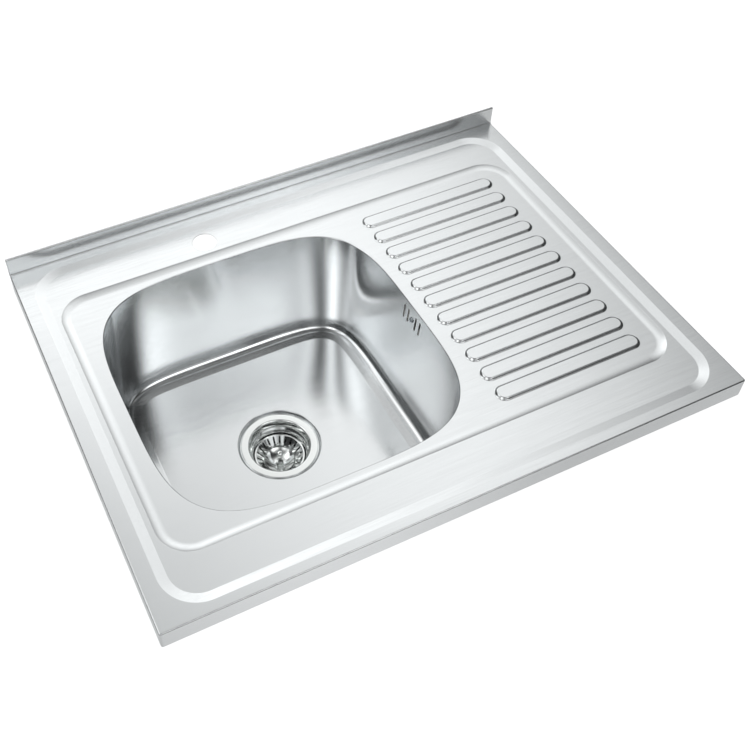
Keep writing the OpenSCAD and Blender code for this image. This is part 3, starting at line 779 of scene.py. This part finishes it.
@dataclass
class Deck:
    """The pressed deck with its contours, ribs, aprons and upstand."""

    sheet: float = 0.8
    corner_radius: float = 3.0
    hem_bend: float = 1.5
    edge_bend: float = 2.0
    hem_width: float = 20.0
    lip_height: float = 7.0
    upstand_thickness: float = 4.0
    upstand_return: float = 14.0
    border_side: float = 21.0
    border_front: float = 14.0
    border_radius: float = 50.0
    border_band: float = 12.5
    border_drop: float = 2.5
    shelf_side: float = 40.0
    shelf_margin: float = 19.5
    shelf_radius: float = 44.0
    shelf_band: float = 13.5
    shelf_drop: float = 2.5
    fold_radius: float = 3.0
    mouth_roll: float = 1.5
    tap_centre: Point = (-125.0, 242.0)
    tap_radius: float = 17.5
    rib_count: int = 11
    rib_pitch: float = 35.65
    rib_width: float = 26.5
    rib_height: float = 3.0
    rib_slope: float = 50.0
    rib_edge: float = 2.4
    rib_gap: float = 16.5
    rib_end: float = 22.0

    def __post_init__(self) -> None:
        """Reads the deck's size from the construction."""
        low, high = node_box("deck")
        self.half_width = high.x
        self.half_depth = -low.y
        self.top = high.z
        self.crest = node_box("upstand")[1].z
        self.shelf = self.top - self.border_drop
        self.panel = self.shelf - self.shelf_drop
        self.seat = self.half_depth - self.upstand_thickness - self.edge_bend - 1
        self.middle = -self.upstand_thickness / 2
        self.rib_to = self.half_width - self.shelf_side - self.shelf_band - self.rib_end

    def apron_row(self, inset: float, height: float) -> list[Place]:
        """Gives a row from the left rear round the front to the right rear."""
        x = self.half_width - inset
        y = self.half_depth - inset
        radius = max(self.corner_radius - inset, 0.05)
        left = arc((-x + radius, -y + radius), radius, 180, 270, 8)
        right = arc((x - radius, -y + radius), radius, 270, 360, 8)
        plan = [(-x, self.seat), *left, *right, (x, self.seat)]
        return [(px, py, height) for px, py in plan]

    def contour(self, half: Point, radius: float, inset: float, height: float) -> list[Place]:
        """Gives a pressed contour's level outline at an inset from its outer edge."""
        return rounded_ring((half[0] - inset, half[1] - inset), radius - inset, height, (0, self.middle))

    def rib_path(self) -> list[Point]:
        """Gives a rib's section as radii and heights above the panel, from its foot."""
        slope = math.radians(self.rib_slope)
        straight = self.rib_height - 2 * self.rib_edge * (1 - math.cos(slope))
        foot = self.rib_width / 2
        edge = foot - 2 * self.rib_edge * math.sin(slope) - straight / math.tan(slope)
        return [*arc((foot, self.rib_edge), self.rib_edge, 270, 270 - self.rib_slope, 7),
                *arc((edge, self.rib_height - self.rib_edge), self.rib_edge, 90 - self.rib_slope, 90, 7)]

    def rib_ring(self, bowl: Bowl, index: int, radius: float, height: float) -> list[Place]:
        """Gives a level outline of one rib."""
        start = bowl.centre[0] + bowl.width / 2 + self.rib_gap
        across = self.middle + (index - (self.rib_count - 1) / 2) * self.rib_pitch
        centre = ((start + self.rib_to) / 2, across)
        return slot_ring(centre, self.rib_to - start - self.rib_width, radius, self.panel + height)

    def ribs(self, bowl: Bowl, finish: Material) -> Piece:
        """Makes the ribs as copies of the first one."""
        skin = Skin()
        rows = skin.sweep([self.rib_ring(bowl, 0, r, h) for r, h in self.rib_path()])
        skin.plate(rows[-1])
        return copies(skin.piece("rib"), row_tree(finish), {
            "Count": self.rib_count, "Pitch": self.rib_pitch * MM})

    def upstand_row(self, y: float, height: float) -> list[Place]:
        """Gives a row of the upstand from left to right."""
        inner = self.half_width - self.edge_bend
        return [(x, y, height) for x in (-self.half_width, -inner, inner, self.half_width)]

    def build(self, bowl: Bowl, finish: Material) -> Piece:
        """Builds the deck as one thickened surface."""
        skin = Skin()
        section = filleted(
            [(self.hem_width, self.lip_height), (self.hem_width, 0), (0, 0), (0, self.top),
             (self.edge_bend + 4, self.top)],
            [1.0, self.hem_bend, self.edge_bend], steps=6)[:-1]
        apron = skin.sweep([self.apron_row(inset, height) for inset, height in section], closed=False)
        front = self.half_depth - self.upstand_thickness
        fold = self.upstand_thickness / 2
        rise = [
            *arc((front - self.edge_bend, self.top + self.edge_bend), self.edge_bend, -90, 0, 6),
            *arc((front + fold, self.crest - fold), fold, 180, 0, 12),
            (self.half_depth, self.crest - self.upstand_return)]
        skin.sweep([self.upstand_row(*p) for p in [(self.seat, self.top), *rise]], closed=False)

        step = filleted(
            [(-2, self.top), (0, self.top), (self.border_band, self.shelf),
             (self.border_band + 2, self.shelf)],
            [self.fold_radius] * 2)[1:-1]
        half = (self.half_width - self.border_side, self.half_depth + self.middle - self.border_front)
        outer = skin.sweep([self.contour(half, self.border_radius, i, h) for i, h in step])
        skin.plate(apron[-1], outer[0])

        slope = [(self.shelf_band * u, self.shelf - self.shelf_drop * (1 - (1 - u) ** 2))
                 for u in (i / 12 for i in range(1, 13))]
        crease = filleted([(-2, self.shelf), (0, self.shelf), slope[0]], [1.2], steps=4)[1:-1]
        half = (self.half_width - self.shelf_side, bowl.depth / 2 + self.shelf_margin)
        inner = skin.sweep([self.contour(half, self.shelf_radius, i, h) for i, h in crease + slope])
        tap = skin.sweep([
            [(x, y, h) for x, y in arc(self.tap_centre, r, 0, 355, 71)]
            for r, h in filleted(
                [(self.tap_radius + 1, self.shelf), (self.tap_radius, self.shelf),
                 (self.tap_radius, self.shelf - self.sheet)], [0.35], steps=3)[1:]])
        skin.plate(outer[-1], inner[0], tap[0])

        mouth = skin.sweep([
            bowl.outline(i, h, bowl.top_curve)
            for i, h in filleted(
                [(-3, self.panel), (0, self.panel), (0, self.panel - self.mouth_roll - 0.1)],
                [self.mouth_roll], steps=8)[1:]])
        foot = self.rib_path()[0]
        feet = [skin.ring(self.rib_ring(bowl, i, *foot)) for i in range(self.rib_count)]
        skin.plate(inner[-1], mouth[0], *feet)
        skin.take(self.ribs(bowl, finish))
        skin.weld()
        return thicken(skin.piece("deck_sheet"), self.sheet)


@dataclass
class Strainer:
    """The waste's cup in the bowl's recess and the basket that lifts out of it."""

    sheet: float = 0.8
    flange: float = 56.0
    mouth: float = 43.8
    wall: float = 38.8
    depth: float = 49.5
    well: float = 21.5
    well_depth: float = 8.5
    hub: float = 8.0
    spoke: float = 4.0
    hub_hole: float = 3.3
    basket_rim: float = 37.2
    basket_wall: float = 21.0
    slots: int = 22
    slot_width: float = 2.8
    plate: float = 21.6
    plate_rise: float = 7.0
    plug: float = 26.0
    pin: float = 2.1

    def __post_init__(self) -> None:
        """Reads the heights from the construction."""
        self.rim = node_box("strainer_cup")[1].z
        self.seat = self.rim - self.depth
        low, high = node_box("strainer_basket")
        self.basket_bottom = low.z
        self.basket_top = high.z
        self.plug_bottom = node_box("basket_plug")[0].z

    def cup(self, bowl: Bowl, finish: Material) -> Piece:
        """Builds the cup with the four openings in its bottom."""
        rim, seat, bottom = self.rim, self.seat, self.seat - self.well_depth
        path = filleted(
            [(self.flange, rim - 2.1), (self.flange, rim), (self.mouth, rim), (self.mouth, rim - 13),
             (self.wall + 1.4, rim - 17), (self.wall, rim - 21), (self.wall, seat), (self.well, seat),
             (self.well, bottom), (self.hub_hole, bottom)],
            [1.2, 3.0, 5.0, 6.0, 8.0, 7.0, 1.5, 1.0], steps=7)
        made = turned("strainer_cup_drawn", walled(path, self.sheet), bowl.axis, 192)
        reach, gap = self.well - 1.6, self.spoke / 2
        turns = [math.degrees(math.asin(gap / r)) for r in (reach, self.hub)]
        window = [*arc((0, 0), reach, turns[0], 90 - turns[0], 16),
                  *arc((0, 0), self.hub, 90 - turns[1], turns[1], 10)]
        rows = [[(x, y, h) for x, y in window] for h in (bottom - 3, bottom + 3)]
        windows = copies(layered("window", rows), circle_tree(finish), {
            "Count": 4, "Centre": (bowl.centre[0] * MM, bowl.centre[1] * MM, 0)})
        return smooth(cut(made, windows))

    def basket(self, bowl: Bowl, finish: Material) -> Piece:
        """Builds the basket with its slots."""
        top, base = self.basket_top, self.basket_bottom + self.sheet
        path = filleted(
            [(self.basket_rim, top - 1.8), (self.basket_rim, top), (self.basket_rim - 2.7, top),
             (self.basket_wall + 1.0, top - 13.5), (self.basket_wall, top - 16), (self.basket_wall, base),
             (self.pin, base)],
            [1.2, 0.8, 2.0, 4.0, 0.8], steps=7)
        made = turned("strainer_basket_pressed", walled(path, self.sheet), bowl.axis, 192)
        start, end = self.basket_wall + 2.8, self.basket_rim - 3.4
        rows = [slot_ring(((start + end) / 2, 0), end - start - self.slot_width, self.slot_width / 2, h, 8)
                for h in (base - 3, top + 3)]
        slots = copies(layered("slot", rows), circle_tree(finish), {
            "Count": self.slots, "Centre": (bowl.centre[0] * MM, bowl.centre[1] * MM, 0)})
        return smooth(cut(made, slots))

    def disc(self, bowl: Bowl) -> Piece:
        """Builds the dished disc under the knob."""
        base = self.basket_bottom + 2 * self.sheet
        dish = [(self.pin + (self.plate - 0.4 - self.pin) * u, base + self.plate_rise * u * u)
                for u in (1 - i / 20 for i in range(21))]
        lip = dish[0]
        path = [*arc((lip[0], lip[1] - self.sheet / 2), self.sheet / 2, 0, 80, 4), *dish[1:]]
        return turned("basket_disc", walled(path, self.sheet * 0.9), bowl.axis, 160)

    def knob(self, bowl: Bowl) -> Piece:
        """Builds the pear-shaped knob."""
        base = self.basket_bottom + 2 * self.sheet + 0.1
        foot = filleted([(0, 0), (3.6, 0), (5.4, 3.2), (3.3, 6.8), (3.2, 11.0), (5.6, 15.5)],
                        [1.0, 2.2, 5.0, 9.0], steps=8)[:-1]
        ball = arc((0, 19.15), 6.5, -38, 90, 28)
        outline = [(max(r, 0), base + h) for r, h in [*foot, *ball]]
        outline[0], outline[-1] = (0, base), (0, base + 25.65)
        return turned("basket_knob_turned", outline, bowl.axis, 96)

    def seal(self, bowl: Bowl) -> Piece:
        """Builds the rubber plug under the basket, with its lip."""
        low, top, edge = self.plug_bottom, self.basket_bottom, self.plug
        outline = filleted(
            [(self.pin, top), (edge - 2.6, top), (edge, top - 2), (edge, low), (edge - 2.6, low),
             (edge - 4.2, low + 1.5), (self.pin, low + 1.5)],
            [0.8, 1.0, 0.6, 0.5, 0.8], steps=5)
        return turned("basket_plug_moulded", outline, bowl.axis)

    def washer(self, bowl: Bowl, node: str, inner: float) -> Piece:
        """Builds a flat rubber ring in the place of a node."""
        low, high = node_box(node)
        outline = washer_outline(inner, (high.x - low.x) / 2, low.z, high.z)
        return turned(f"{node}_ring", outline, bowl.axis)

    def build(self, bowl: Bowl, finishes: Finishes) -> None:
        """Builds and seats the whole strainer."""
        steel = (finishes.polished, Slot.POLISHED_STEEL)
        rubber = (finishes.rubber, Slot.RUBBER)
        for piece, (finish, slot), body, node in [
                (self.cup(bowl, finishes.polished), steel, Body.SINK, "strainer_cup"),
                (self.washer(bowl, "flange_gasket", self.mouth + 3.3), rubber, Body.SINK, "flange_gasket"),
                (self.washer(bowl, "body_washer", bowl.hole_radius), rubber, Body.SINK, "body_washer"),
                (self.basket(bowl, finishes.polished), steel, Body.BASKET, "strainer_basket"),
                (self.disc(bowl), steel, Body.BASKET, "basket_plate"),
                (self.knob(bowl), steel, Body.BASKET, "basket_knob"),
                (self.seal(bowl), rubber, Body.BASKET, "basket_plug")]:
            hand_over(piece, finish, body, slot, node)


@dataclass
class Hose:
    """The ribbed hose from the waste body up to the overflow's spigot, with its washer."""

    radius: float = 12.2
    bore: float = 10.2
    rib_height: float = 1.6
    corner_radius: float = 14.0
    pitch: float = 5.0
    bend: float = 60.0
    cuff: float = 30.0
    sides: int = 40

    def __post_init__(self) -> None:
        """Reads the hose's place from the construction."""
        low, high = node_box("overflow_hose")
        reach = self.corner_radius * math.cos(math.radians(22.5))
        self.start = low.x
        self.end = high.z
        self.level = low.z + reach
        self.rise = high.x - reach
        self.middle = (low.y + high.y) / 2
        self.run = self.rise - self.bend - self.start
        self.arc = self.bend * math.pi / 2
        self.length = self.run + self.arc + self.end - self.level - self.bend

    def at(self, way: float) -> Matrix:
        """Gives the frame of the hose's axis at a distance from its start, Z along it."""
        if way < self.run:
            x, z, turn = self.start + way, self.level, 0.0
        elif way < self.run + self.arc:
            turn = (way - self.run) / self.bend
            x = self.rise - self.bend + self.bend * math.sin(turn)
            z = self.level + self.bend * (1 - math.cos(turn))
        else:
            x, z, turn = self.rise, self.level + self.bend + way - self.run - self.arc, math.pi / 2
        return Matrix.Translation((x, self.middle, z)) @ Matrix.Rotation(math.pi / 2 - turn, 4, "Y")

    def ring(self, way: float, radius: float) -> list[Vector]:
        """Gives one ring of the hose."""
        place = self.at(way)
        turns = (math.tau * i / self.sides for i in range(self.sides))
        return [place @ Vector((radius * math.cos(a), radius * math.sin(a), 0)) for a in turns]

    def skin(self) -> Piece:
        """Builds the hose: plain cuffs, round ribs between them, and its bore."""
        count = math.floor((self.length - 2 * self.cuff) / self.pitch)
        first = (self.length - count * self.pitch) / 2
        wave = [
            (first + self.pitch * (i + k / 10),
             self.radius + self.rib_height * math.sin(math.pi * k / 10) ** 2)
            for i in range(count) for k in range(10)]
        outside = [(0, self.radius - 0.4), (0.4, self.radius), *wave, (self.length - first, self.radius),
                   (self.length - 0.4, self.radius), (self.length, self.radius - 0.4)]
        inside = [(self.length * i / 60, self.bore) for i in range(60, -1, -1)]
        return layered("overflow_hose_ribbed", [self.ring(*p) for p in outside + inside], capped=False)

    def washer(self) -> Piece:
        """Builds the rubber ring that seals the cuff."""
        low, high = node_box("hose_washer")
        outline = washer_outline(self.radius + 0.05, (high.z - low.z) / 2, 0, high.x - low.x)
        place = Matrix.Translation((low.x, self.middle, self.level)) @ Matrix.Rotation(math.pi / 2, 4, "Y")
        return turned("hose_washer_ring", outline, place, 96)

    def build(self, finishes: Finishes) -> None:
        """Builds and seats the hose and its washer."""
        for piece, finish, slot, node in [
                (self.skin(), finishes.plastic, Slot.PLASTIC, "overflow_hose"),
                (self.washer(), finishes.rubber, Slot.RUBBER, "hose_washer")]:
            hand_over(piece, finish, Body.SINK, slot, node)


@dataclass
class Pads:
    """The rubber sound pads glued under the bowl and the drainer."""

    bowl_pad_width: float = 70.0
    corner: float = 6.0
    edge: float = 1.0

    def pad(self, name: str, low: Vector, high: Vector) -> Piece:
        """Builds one pad with its lower edges rounded."""
        half = ((high.x - low.x) / 2, (high.y - low.y) / 2)
        centre = ((low.x + high.x) / 2, (low.y + high.y) / 2)
        rounding = arc((self.edge, low.z + self.edge), self.edge, 270, 180, 5)
        rows = [rounded_ring((half[0] - i, half[1] - i), self.corner - i, h, centre, 8)
                for i, h in [*rounding, (0, high.z)]]
        return layered(name, rows)

    def build(self, finishes: Finishes) -> None:
        """Builds and seats the pads."""
        low, high = node_box("bowl_pads")
        split = Vector((high.x - low.x - self.bowl_pad_width, 0, 0))
        left = self.pad("bowl_pad_left", low, high - split)
        right = self.pad("bowl_pad_right", low + split, high)
        drainer = self.pad("drainer_pad_cut", *node_box("drainer_pad"))
        for piece, node in [(left, "bowl_pads"), (right, "bowl_pads"), (drainer, "drainer_pad")]:
            hand_over(piece, finishes.rubber, Body.SINK, Slot.RUBBER, node)


@dataclass(frozen=True)
class Lobe:
    """One soft patch of light in the surround, as a large softbox gives it.

    Azimuth is measured from the rear to the right and elevation from the horizon, in degrees.
    """

    azimuth: float
    elevation: float
    tightness: float
    strength: float

    def direction(self) -> Place:
        """Gives the unit vector towards the patch."""
        a, e = math.radians(self.azimuth), math.radians(self.elevation)
        return math.cos(e) * math.sin(a), math.cos(e) * math.cos(a), math.sin(e)

    def add(self, tree: Tree, way: Socket, total: Socket | float) -> Socket:
        """Adds the patch's radiance to a total."""
        fall = maths(tree, "SUBTRACT", vector_maths(tree, "DOT_PRODUCT", way, self.direction()), 1.0)
        bell = maths(tree, "EXPONENT", maths(tree, "MULTIPLY", fall, self.tightness))
        return maths(tree, "MULTIPLY_ADD", bell, self.strength, total)


@dataclass
class Stage:
    """The floor, the light and the camera, in metres and degrees."""

    target: Place = (-0.0770, 0.0716, 0.030)
    azimuth: float = -24.61
    elevation: float = 47.17
    roll: float = -0.93
    distance: float = 1.43744
    focal_px: float = 1051.66
    axis_px: Point = (284.40, 307.69)
    floor_height: float = -0.87
    floor_reach: float = 12.0
    floor_colour: str = "#E6E6E6"
    floor_glow: float = 0.6
    # Painted reflection: a patch of the floor glows for reflections only, brightest at this centre and fading
    # over the reach to the rest.
    painted_reflection_centre: Place = (0.05, -1.05, -0.87)
    painted_reflection_reach: float = 0.75
    painted_reflection_glow: float = 0.65
    painted_reflection_rest: float = 0.15
    sky: str = "#FBFCFC"
    ambient: float = 0.05
    lobes: tuple[Lobe, ...] = (
        Lobe(0, 39, 30, 1.6), Lobe(26, 39, 30, 1.15), Lobe(49, 55, 30, 1.0), Lobe(26, 72, 30, 0.6),
        Lobe(154, 47, 70, 3.6), Lobe(-178, 48, 60, 2.6), Lobe(-122, 42, 40, 3.4), Lobe(-77, 39, 30, 1.5),
        Lobe(-49, 55, 30, 2.3), Lobe(-150, 15, 20, 0.5))

    def camera(self) -> None:
        """Sets the camera at the photograph's angle."""
        data = bpy.data.cameras.new("camera")
        data.sensor_width = SENSOR_MM
        data.lens = SENSOR_MM * self.focal_px / IMAGE_PX
        data.shift_x = (IMAGE_PX / 2 - self.axis_px[0]) / IMAGE_PX
        data.shift_y = (self.axis_px[1] - IMAGE_PX / 2) / IMAGE_PX
        data.clip_end = 50
        turn = (Matrix.Rotation(math.radians(self.azimuth), 4, "Z")
                @ Matrix.Rotation(math.radians(90 - self.elevation), 4, "X")
                @ Matrix.Rotation(math.radians(self.roll), 4, "Z"))
        made = add_object("camera", data)
        made.matrix_world = Matrix.Translation(self.target) @ turn @ Matrix.Translation((0, 0, self.distance))
        bpy.context.scene.camera = made

    def floor(self) -> None:
        """Lays the pale floor, which looks white and keeps the object's shadow, and glows in a patch for
        reflections only: a painted reflection in the metal.
        """
        data = bpy.data.meshes.new("floor")
        corners = [(x, y, self.floor_height) for x, y in rectangle((self.floor_reach, self.floor_reach))]
        data.from_pydata(corners, [], [(0, 1, 2, 3)])
        made = add_object("floor", data)
        material, tree, shader = new_material("painted_white_floor")
        feed(tree, shader, {"Base Color": linear(self.floor_colour), "Roughness": 0.9})
        rays = add_node(tree, "ShaderNodeLightPath")
        surface = add_node(tree, "ShaderNodeNewGeometry")
        # Painted reflection: for glossy rays the floor glows, brightest near a centre in front of the sink.
        fade = add_node(tree, "ShaderNodeMapRange", {
            "Value": vector_maths(tree, "DISTANCE", surface.outputs["Position"], self.painted_reflection_centre),
            "From Min": 0.0, "From Max": self.painted_reflection_reach,
            "To Min": self.painted_reflection_glow, "To Max": self.painted_reflection_rest}, interpolation_type="SMOOTHSTEP")
        painted_reflection_strength = maths(tree, "MULTIPLY", rays.outputs["Is Glossy Ray"], fade.outputs["Result"])
        shown = maths(tree, "MAXIMUM", rays.outputs["Is Camera Ray"], rays.outputs["Is Transmission Ray"])
        lift = maths(tree, "MULTIPLY_ADD", shown, self.floor_glow, painted_reflection_strength)
        glow = add_node(tree, "ShaderNodeEmission", {"Strength": lift})
        both = add_node(tree, "ShaderNodeAddShader", {0: shader.outputs[0], 1: glow.outputs[0]})
        feed(tree, tree.nodes["Material Output"], {"Surface": both.outputs[0]})
        made.data.materials.append(material)

    def world(self) -> None:
        """Sets the surround: a dark room with soft patches of light, which itself looks white."""
        world = bpy.data.worlds.new("surround")
        world.use_nodes = True
        tree = world.node_tree
        place = add_node(tree, "ShaderNodeTexCoord")
        way = vector_maths(tree, "NORMALIZE", place.outputs["Generated"])
        total = self.ambient
        for lobe in self.lobes:
            total = lobe.add(tree, way, total)
        back = tree.nodes["Background"]
        feed(tree, back, {"Color": linear(self.sky), "Strength": total})
        rays = add_node(tree, "ShaderNodeLightPath")
        plain = add_node(tree, "ShaderNodeBackground", {"Color": linear("#FFFFFF"), "Strength": 1.0})
        both = add_node(tree, "ShaderNodeMixShader", {
            0: rays.outputs["Is Camera Ray"], 1: back.outputs[0], 2: plain.outputs[0]})
        feed(tree, tree.nodes["World Output"], {"Surface": both.outputs[0]})
        bpy.context.scene.world = world

    def build(self) -> None:
        """Sets the whole stage."""
        bpy.context.scene.view_settings.view_transform = "Standard"
        self.camera()
        self.floor()
        self.world()


def main() -> None:
    """Builds the sink's looks piece by piece."""
    logging.basicConfig(level=logging.INFO, format="%(name)s: %(message)s")
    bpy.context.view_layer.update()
    finishes = Finishes()
    bowl = Bowl()
    overflow = Overflow()
    deck = Deck()

    sheet = smooth(deck.build(bowl, finishes.satin))
    hand_over(sheet, finishes.satin, Body.SINK, Slot.SATIN_STEEL, "deck", "aprons", "upstand")
    shell = smooth(cut(bowl.build(), overflow.cutter(bowl)))
    hand_over(shell, finishes.drawn, Body.SINK, Slot.SATIN_STEEL, "bowl", "bowl_floor")
    Strainer().build(bowl, finishes)
    for piece, finish, slot, node in [
            (overflow.gasket(bowl), finishes.rubber, Slot.RUBBER, "overflow_gasket"),
            (overflow.screw(bowl), finishes.plated, Slot.PLATED_STEEL, "overflow_screw")]:
        hand_over(piece, finish, Body.SINK, slot, node)
    Hose().build(finishes)
    Pads().build(finishes)
    for finish, nodes in [
            (finishes.plastic, ("waste_body", "waste_outlet", "overflow_head", "hose_nut")),
            (finishes.plated, ("clamp_screw", "basket_stem", "fixing_brackets")),
            (finishes.brass, ("clamp_nut",))]:
        for node in nodes:
            dress(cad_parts[node], finish)
    Stage().build()


if __name__ == "__main__":
    main()
